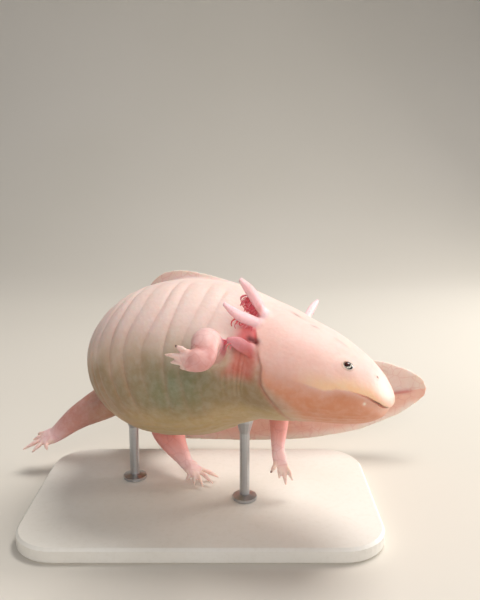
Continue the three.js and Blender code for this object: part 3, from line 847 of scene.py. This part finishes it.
def describe(points):
    """The values at each point that the skin's material reads, by name."""
    m = measure(points)
    trunk = np.minimum(m.body, m.fin)
    on_limb = ease(trunk - m.limb, -2.2, 1.6)
    on_gill = ease(trunk - m.gill, -1.0, 1.2)
    flesh = (1 - on_limb) * (1 - on_gill)
    along, red, pale, cover = limb_place(points)
    ridge, strength = groove_ridge(m)
    return {
        "turn": m.turn / 180,
        "on_limb": on_limb,
        "limb_cover": on_limb * cover,
        "limb_red": red,
        "limb_pale": pale,
        "limb_along": on_limb * along / 2,
        "on_gill": on_gill,
        "groove": strength * (1 - ridge) * flesh,
        # Where the gut shows through the flank, painted darker as shade too.
        "gut_and_shade": hump(m.t, 9.0, 1.15) * hump(m.turn, 112, 24) * flesh,
        "pimple": hump(distance(points, PIMPLE), 0, PIMPLE_WIDTH),
        "dark": shade_and_dark_marks(m),
        **red_marks(m, on_limb, on_gill),
        **head_marks(m, flesh),
        **fin_marks(m, on_limb),
    }


for name, values in describe(points_of(skin.data)).items():
    attribute(skin.data, name, values)


# ---------------- materials
def linear(colour):
    """A colour like #rrggbb in the scene's linear values."""
    parts = [int(colour[i:i + 2], 16) / 255 for i in (1, 3, 5)]
    return tuple(c / 12.92 if c <= 0.04045 else ((c + 0.055) / 1.055) ** 2.4 for c in parts) + (1.0,)


class Nodes:
    """A material's node tree, with short calls for the nodes that are used here."""

    def __init__(self, name, **shader):
        self.material = bpy.data.materials.new(name)
        self.material.use_nodes = True
        self.tree = self.material.node_tree
        self.shader = self.tree.nodes["Principled BSDF"]
        for key, value in shader.items():
            self.shader.inputs[key.replace("_", " ")].default_value = value

    def plug(self, socket, value):
        if isinstance(value, bpy.types.NodeSocket):
            self.tree.links.new(value, socket)
        elif isinstance(value, str):
            socket.default_value = linear(value)
        else:
            socket.default_value = value

    def node(self, kind, inputs, **settings):
        """A new node's outputs. Its inputs, by name or number, are plugged in after its settings."""
        node = self.tree.nodes.new("ShaderNode" + kind)
        for key, value in settings.items():
            setattr(node, key, value)
        for key, value in inputs.items():
            self.plug(node.inputs[key], value)
        return node.outputs

    def attribute(self, name, strength=1):
        """A point attribute's value, times a strength."""
        value = self.node("Attribute", {}, attribute_name=name)["Fac"]
        return value if strength == 1 else self.math("MULTIPLY", value, strength)

    def place(self):
        return self.node("TexCoord", {})["Object"]

    def math(self, operation, *values):
        return self.node("Math", dict(enumerate(values)), operation=operation)[0]

    def ramp(self, value, low, high, out_low=0.0, out_high=1.0):
        inputs = dict(enumerate((value, low, high, out_low, out_high)))
        return self.node("MapRange", inputs, interpolation_type="SMOOTHSTEP")[0]

    def mix(self, share, a, b):
        return self.node("Mix", {"Factor": share, 6: a, 7: b}, data_type="RGBA")[2]

    def fade(self, value, low, high, a, b, most=1.0):
        """Colour a where the value is low, which turns into b, to the share most, where it is high."""
        return self.mix(self.ramp(value, low, high, 0.0, most), a, b)

    def marks(self, colour, *marks):
        """The colour under marks, each an attribute, how strongly it shows and its colour."""
        for name, strength, tint in marks:
            colour = self.mix(self.attribute(name, strength), colour, tint)
        return colour

    def noise(self, scale, detail=3.0, roughness=0.5, stretch=(1, 1, 1)):
        where = self.node("Mapping", {"Vector": self.place(), "Scale": stretch})[0]
        inputs = {"Vector": where, "Scale": scale, "Detail": detail, "Roughness": roughness}
        return self.node("TexNoise", inputs)["Fac"]

    def cells(self, scale, feature="DISTANCE_TO_EDGE", warp=0.0):
        where = self.place()
        if warp:
            bent = self.node("TexNoise", {"Vector": where, "Scale": scale * 0.6})["Color"]
            inputs = {0: bent, 1: (warp, warp, warp), 2: where}
            where = self.node("VectorMath", inputs, operation="MULTIPLY_ADD")[0]
        return self.node("TexVoronoi", {"Vector": where, "Scale": scale}, feature=feature)["Distance"]

    def bump(self, height, distance, strength):
        return self.node("Bump", {"Height": height, "Distance": distance, "Strength": strength})[0]

    def finish(self, colour, roughness, normal=None):
        self.plug(self.shader.inputs["Base Color"], colour)
        self.plug(self.shader.inputs["Roughness"], roughness)
        if normal is not None:
            self.plug(self.shader.inputs["Normal"], normal)
        return self.material


CREAM = "#f6dacf"  # the back
CROWN = "#f6d3c9"
PINK = "#f3c6b8"  # the head's sides
FLANK = "#d9c0a8"
SHADED_OLIVE = "#99805b"  # the lower flank and belly: partly their own olive tone, partly painted shade
GUT_GREEN_AND_SHADE = "#75815d"  # the gut's colour, which shows through the flank, painted darker as shade too
# Painted light: the lowest part of the flank lighter and yellower, as if lit from below.
LIT_BELLY_EDGE = "#b89d6f"
# The throat: partly its own tan, partly painted shade under the upper lip.
SHADED_THROAT = "#d68f6a"
# The chin's paler front: partly its own tone, partly a painted highlight.
CHIN_HIGHLIGHT = "#f0b9a0"
# The upper lip's peach edge: partly its own tone, partly painted light where the lip catches it.
LIT_PEACH = "#ffcd9e"
SALMON = "#ffa592"
SHADED_BEIGE = "#cfa28d"  # the browner limbs, mostly the right hind leg: partly their own tone, partly painted shade
# The raised arm: partly its own pale tone, partly painted light from above.
PALE_LIT_ARM = "#fbd9cf"
# The palms and soles: partly their own pale tone, partly painted light.
PALE_LIT_PALM = "#ffe3df"
RAISED_PALM_SHADE = "#cc8a77"  # painted shade, reddish brown, on the raised hand's palm
TIP = "#fff3e2"
STALK = "#ffd2d6"
LOW_STALK = "#cf8288"
RAW = "#fb8280"  # the gill arches between the two lower stalks
# Painted shade, dark red, in the gill slit's opening.
SLIT_SHADE = "#7a1418"
FLUSH = "#cb5444"
FIN = "#e2cdc0"  # on the tail
LOW_FIN = "#e3b9a6"
BACK_FIN = "#eadcd8"
PALE_RIM = "#ecdbd1"
VEIN = "#c0605c"
GROOVE_SHADE = "#c98f78"
FOLD_SHADE = "#b5614f"
BLUSH = "#e8a598"
BLOOM = "#ffffff"
DARK = "#2a1712"
THREAD = "#e04a57"
PALE_THREAD = "#ffa0a9"
DEEP_THREAD = "#e84a5c"
PUPIL = "#4a1b14"
PUPIL_EDGE = "#240a08"
IRIS = "#a59c8c"
PALE_IRIS = "#f4efe2"
# Near black past the iris: partly the eye's dark edge, partly painted shade of the socket.
EYE_EDGE_SHADE = "#241c18"
PAINT = "#e9e4da"
PALE_PAINT = "#efebe3"
DUSTY_PAINT = "#d9d2c4"
STEEL = "#b4b5b7"
PALE_STEEL = "#c6c7c9"
ROOM = "#d8d2c7"
PALE_ROOM = "#dcd6cc"


# Paler on the back, darker and olive towards the belly: partly the skin's own tones, partly painted light
# from above and painted shade below.
def body_colour(n, turn):
    colour = n.fade(turn, 0.36, 0.54, CREAM, FLANK)
    colour = n.fade(turn, 0.47, 0.6, colour, SHADED_OLIVE)
    colour = n.marks(colour, ("gut_and_shade", 0.85, GUT_GREEN_AND_SHADE))
    return n.fade(turn, 0.7, 0.82, colour, LIT_BELLY_EDGE)


# Paler on the crown than on the sides, partly as painted light from above.
def head_colour(n, turn):
    throat = n.marks(SHADED_THROAT, ("chin", 0.7, CHIN_HIGHLIGHT))
    head = n.fade(turn, 0.08, 0.36, CROWN, PINK)
    return n.marks(head, ("throat", 1, throat), ("lip", 1, LIT_PEACH))


def fin_colour(n, turn):
    tail_fin = n.fade(turn, 0.46, 0.56, FIN, LOW_FIN)
    return n.marks(BACK_FIN, ("on_tail", 1, tail_fin), ("rim", 1, PALE_RIM), ("axis", 0.8, VEIN))


def limb_colour(n):
    limb = n.mix(n.attribute("limb_red"), SHADED_BEIGE, SALMON)
    limb = n.marks(limb, ("limb_pale", 1, PALE_LIT_ARM))
    palm = n.marks(PALE_LIT_PALM, ("limb_pale", 1, RAISED_PALM_SHADE))
    along = n.attribute("limb_along")
    # From the wrist on: paler palms and soles, partly painted light; on the raised hand a darker palm,
    # painted shade.
    limb = n.fade(along, 0.3, 0.46, limb, palm)
    return n.fade(along, 0.44, 0.64, limb, TIP, most=0.9)


def skin_material():
    n = Nodes(
        "skin",
        Subsurface_Weight=0.35,
        Subsurface_Scale=0.003,
        Subsurface_Radius=(1.0, 0.38, 0.25),
        Specular_IOR_Level=0.32,
        Coat_Weight=0.05,
        Coat_Roughness=0.35,
    )
    n.shader.subsurface_method = "RANDOM_WALK"
    turn = n.attribute("turn")
    cloud = n.noise(90, 2)
    fine = n.noise(420, 4, 0.6)
    uneven = n.math("SUBTRACT", n.math("MULTIPLY_ADD", cloud, 0.12, turn), 0.06)

    colour = n.marks(body_colour(n, uneven), ("in_head", 1, head_colour(n, uneven)))
    fins = n.math("MAXIMUM", n.attribute("on_fin"), n.attribute("on_tail"))
    colour = n.mix(fins, colour, fin_colour(n, turn))
    stalk = n.fade(turn, 0.3, 0.42, STALK, LOW_STALK)
    colour = n.marks(colour, ("limb_cover", 1, limb_colour(n)), ("on_gill", 1, stalk))
    colour = n.marks(colour, ("flush", 1, FLUSH), ("raw", 1, RAW), ("slit", 0.95, SLIT_SHADE))

    # Fine blood vessels, which show most on the fins and limbs.
    vessel = n.ramp(n.cells(240, warp=0.004), 0.0, 0.06, 1.0, 0.0)
    thin = n.math("MAXIMUM", n.attribute("on_fin"), n.attribute("on_limb"))
    colour = n.mix(n.math("MULTIPLY", vessel, n.math("MULTIPLY_ADD", thin, 0.16, 0.03)), colour, VEIN)

    colour = n.marks(colour, ("groove", 0.22, GROOVE_SHADE), ("fold", 0.45, FOLD_SHADE))
    colour = n.fade(n.noise(35, 2), 0.35, 0.7, colour, BLUSH, most=0.1)
    colour = n.fade(fine, 0.3, 0.75, colour, BLOOM, most=0.1)
    # A pale spot on the pimple, then painted shade in the mouth's slit and nostrils, with dark freckles and
    # fingertips.
    colour = n.marks(colour, ("pimple", 1, TIP), ("dark", 1, DARK))

    height = n.math("MULTIPLY_ADD", n.cells(900, feature="F1"), 0.5, fine)
    return n.finish(colour, n.ramp(fine, 0.2, 0.8, 0.44, 0.58), n.bump(height, 0.00016, 0.5))


skin.data.materials.append(skin_material())
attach(skin, "root")
APART = ("eye_left", "eye_right")
flesh_nodes = [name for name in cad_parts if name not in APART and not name.startswith("stand_")]
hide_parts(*flesh_nodes)

# ---------------- the gills' filaments
# Each tuft: the gill, where it starts and ends along the stalk (1 at the base and 3 at the tip), how
# many threads it has and how long, the way that they set out (forward, out, up), how far they stray
# from it, and how far they curl in radians.
TUFTS = [
    ("gill_right_top", 1.0, 2.0, 56, 3.4, (-0.5, 0.35, -1), 0.25, 0.5),
    ("gill_right_top", 1.5, 2.0, 8, 6.6, (-0.9, 0.9, 0), 0.25, 3.6),
    ("gill_right_middle", 1.75, 2.0, 4, 3.4, (-0.5, 0.7, -0.6), 0.25, 1.8),
    ("gill_right_middle", 1.0, 1.7, 14, 1.6, (-0.2, 0.3, -1), 0.3, 0.6),
    ("gill_right_low", 2.3, 3.0, 15, 3.6, (-0.8, 0.9, -0.3), 0.45, 0.8),
    ("gill_left_top", 1.0, 2.4, 44, 3.6, (-0.6, 0.1, -0.9), 0.4, 1.2),
    ("gill_left_middle", 1.0, 2.6, 44, 3.8, (-0.5, 0.1, -0.9), 0.4, 1.4),
    ("gill_left_low", 1.2, 2.9, 40, 3.6, (-0.7, 0.2, -0.8), 0.4, 1.2),
]


def filament(start, way, side, down, length, curl, radius):
    """A soft thread that sets out one way, then curls down and to a side."""
    share = np.linspace(0, 1, 11)
    turn = unit(down * 0.8 + side * 0.6)
    turn = unit(turn - way * (turn @ way))
    path = [start]
    for bend in curl * share[1:] ** 2 * 1.5:
        path.append(path[-1] + (way * np.cos(bend) + turn * np.sin(bend)) * length / 10)
    sizes = radius * (1 - 0.45 * share**2)
    rows = np.concatenate([np.array(path), np.repeat(sizes[:, None], 3, axis=1)], axis=1)
    return tube(rows, 6, 13, hint=side, dome=True)


def grow(gill, along, length, way, stray, curl, rng):
    """One thread of a tuft, on the side of the stalk that its way points to."""
    ahead, out, up = gill.axes
    s = sections(gill.rows, along, gill.hint)
    way = unit(np.array(way) @ gill.axes)
    across = s.left[0] * (way @ s.left[0]) * s.side[0] + s.top[0] * (way @ s.top[0]) * s.up[0]
    root = s.centre[0] + across * 0.8 + s.top[0] * rng.uniform(-0.5, 0.5) * s.up[0]
    way = unit(way + rng.uniform(-1, 1, 3) * stray)
    side = unit(out * rng.uniform(0.2, 1.0) + ahead * rng.uniform(-0.5, 0.5))
    length *= rng.uniform(0.6, 1.05)
    curl *= rng.uniform(0.5, 1.2)
    return filament(root, way, side, -up, length, curl, rng.uniform(0.16, 0.24))


def filaments():
    """All the tufts as one piece, with a shade of its own for each thread."""
    rng = np.random.default_rng(7)
    points, faces, shade, count = [], [], [], 0
    for name, start, end, threads, *habit in TUFTS:
        for index in range(threads):
            along = np.interp(index + rng.uniform(-0.4, 0.4), (0, threads - 1), (start, end))
            mesh = grow(gills[name], along, *habit, rng)
            points.append(mesh.points)
            for part in (mesh.quads, mesh.fans):
                faces += [tuple(f) for f in part + count]
            shade.append(np.full(len(mesh.points), rng.uniform(0, 1)))
            count += len(mesh.points)
    piece = new_mesh("gill_filaments", np.concatenate(points), faces)
    attribute(piece.data, "shade", np.concatenate(shade))
    return piece


def filament_material():
    n = Nodes(
        "gill_filament", Subsurface_Weight=0.25, Subsurface_Scale=0.001, Coat_Weight=0.3, Coat_Roughness=0.2
    )
    colour = n.mix(n.attribute("shade"), THREAD, PALE_THREAD)
    colour = n.fade(n.noise(800, 2), 0.4, 0.7, colour, DEEP_THREAD, most=0.3)
    return n.finish(colour, n.ramp(n.noise(1500, 2), 0.3, 0.7, 0.3, 0.45))


threads = filaments()
threads.data.materials.append(filament_material())
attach(threads, "root")


# ---------------- the eyes
def eye(side):
    """An eyeball whose rings of faces lie round the way that it looks."""
    centre, outward = EYES[side]
    left = unit(np.cross(UP, outward))
    top = np.cross(outward, left)
    polar = np.radians(np.concatenate([np.linspace(0.5, 80, 40), np.linspace(86, 179.5, 16)]))
    angle = np.linspace(0, 2 * np.pi, 64, endpoint=False)
    flat = np.cos(angle)[:, None] * left + np.sin(angle)[:, None] * top
    rings = np.array([centre + EYE_RADIUS * (np.cos(p) * outward + np.sin(p) * flat) for p in polar])
    mesh = closed(rings)
    piece = new_mesh(f"eyeball_{side}", mesh.points, [*map(tuple, mesh.quads), *map(tuple, mesh.fans)])
    values = np.degrees(np.concatenate([np.repeat(polar, len(angle)), polar[[0, -1]]])) / 90
    attribute(piece.data, "polar", values)
    return piece


def eye_material():
    """A dark pupil and a silver iris, by the share of a quarter turn from the way that the eye looks.

    Past the iris the ball turns near black: partly the eye's dark edge, partly painted shade of
    the socket.
    """
    n = Nodes("eye", Coat_Weight=0.5, Coat_Roughness=0.06, Specular_IOR_Level=0.35)
    polar = n.math("MULTIPLY_ADD", n.noise(1800, 2), 0.05, n.attribute("polar"))
    polar = n.math("SUBTRACT", polar, 0.025)
    colour = n.fade(polar, 0.1, 0.36, PUPIL, PUPIL_EDGE)
    iris = n.fade(n.noise(2600, 3), 0.35, 0.65, IRIS, PALE_IRIS)
    colour = n.fade(polar, 0.37, 0.41, colour, iris)
    colour = n.fade(polar, 0.55, 0.6, colour, EYE_EDGE_SHADE)
    return n.finish(colour, 0.12)


eye_finish = eye_material()
for side in EYES:
    ball = eye(side)
    ball.data.materials.append(eye_finish)
    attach(ball, "root")
    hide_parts(f"eye_{side}")


# ---------------- the stand
def base_material():
    n = Nodes("stand_base_paint", Coat_Weight=0.15, Coat_Roughness=0.35)
    fine = n.noise(700, 4, 0.6)
    cloud = n.noise(25, 3)
    colour = n.fade(cloud, 0.3, 0.7, PAINT, PALE_PAINT)
    colour = n.fade(fine, 0.45, 0.8, colour, DUSTY_PAINT, most=0.25)
    return n.finish(colour, n.ramp(fine, 0.3, 0.7, 0.42, 0.58), n.bump(fine, 0.00004, 0.4))


def steel_material():
    n = Nodes("stand_rod_steel", Metallic=1.0)
    brushed = n.noise(300, 3, 0.6, stretch=(1, 1, 12))
    colour = n.mix(brushed, STEEL, PALE_STEEL)
    return n.finish(colour, n.ramp(brushed, 0.3, 0.7, 0.3, 0.36))


def refinish(name, material):
    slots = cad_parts[name].data.materials
    slots.clear()
    slots.append(material)


steel = steel_material()
refinish("stand_base", base_material())
refinish("stand_rod_front", steel)
refinish("stand_rod_rear", steel)


# ---------------- the room, the light and the camera
def room():
    """A pale floor that curves up into a backdrop."""
    near, far, wide, high, bend = -3.0, 0.9, 3.0, 1.6, 0.5
    arc = np.radians(np.arange(6, 91, 6))
    profile = [(near, 0.0), (far - bend, 0.0)]
    profile += [(far - bend + bend * np.sin(a), bend - bend * np.cos(a)) for a in arc]
    profile += [(far, high)]
    points = [(x, y, z) for y, z in profile for x in (-wide, wide)]
    faces = [(2 * i, 2 * i + 1, 2 * i + 3, 2 * i + 2) for i in range(len(profile) - 1)]
    piece = new_mesh("room", np.array(points) / MM, faces)
    n = Nodes("room", Specular_IOR_Level=0.2)
    colour = n.fade(n.noise(3, 2), 0.3, 0.7, ROOM, PALE_ROOM)
    piece.data.materials.append(n.finish(colour, 0.85))
    return piece


def area_light(name, place, target, size, watts, colour):
    light = bpy.data.lights.new(name, "AREA")
    light.shape = "DISK"
    light.size = size
    light.energy = watts
    light.color = colour
    holder = bpy.data.objects.new(name, light)
    holder.location = place
    holder.rotation_euler = (Vector(target) - Vector(place)).to_track_quat("-Z", "Y").to_euler()
    bpy.context.scene.collection.objects.link(holder)


BODY_MIDDLE = (0, 0, 0.04)
WARM = (1.0, 0.97, 0.93)
SOFT = (1.0, 0.97, 0.94)
AIR = (0.9, 0.93, 1.0, 1)
AIR_STRENGTH = 0.22
CAMERA_PLACE = (0.012, -0.2158, 0.1163)
CAMERA_TILT = 78  # degrees up from looking straight down

room()
area_light("key", (0.22, 0.16, 0.66), BODY_MIDDLE, size=0.36, watts=3.8, colour=WARM)
area_light("fill", (0.08, -0.7, 0.4), BODY_MIDDLE, size=0.5, watts=2.3, colour=SOFT)
area_light("edge", (0.5, 0.2, 0.12), (0, 0, 0.02), size=0.25, watts=1.9, colour=WARM)
world = bpy.data.worlds.new("studio")
bpy.context.scene.world = world
world.use_nodes = True
world.node_tree.nodes["Background"].inputs["Color"].default_value = AIR
world.node_tree.nodes["Background"].inputs["Strength"].default_value = AIR_STRENGTH

camera = bpy.data.cameras.new("camera")
camera.sensor_width = 36
camera.lens = 42  # 700 px of focal length, where the photograph's longer side is 600 px
camera.clip_start = 0.01
holder = bpy.data.objects.new("camera", camera)
holder.location = CAMERA_PLACE
holder.rotation_euler = (np.radians(CAMERA_TILT), 0, 0)
bpy.context.scene.collection.objects.link(holder)
bpy.context.scene.camera = holder
bpy.context.scene.view_settings.view_transform = "Standard"
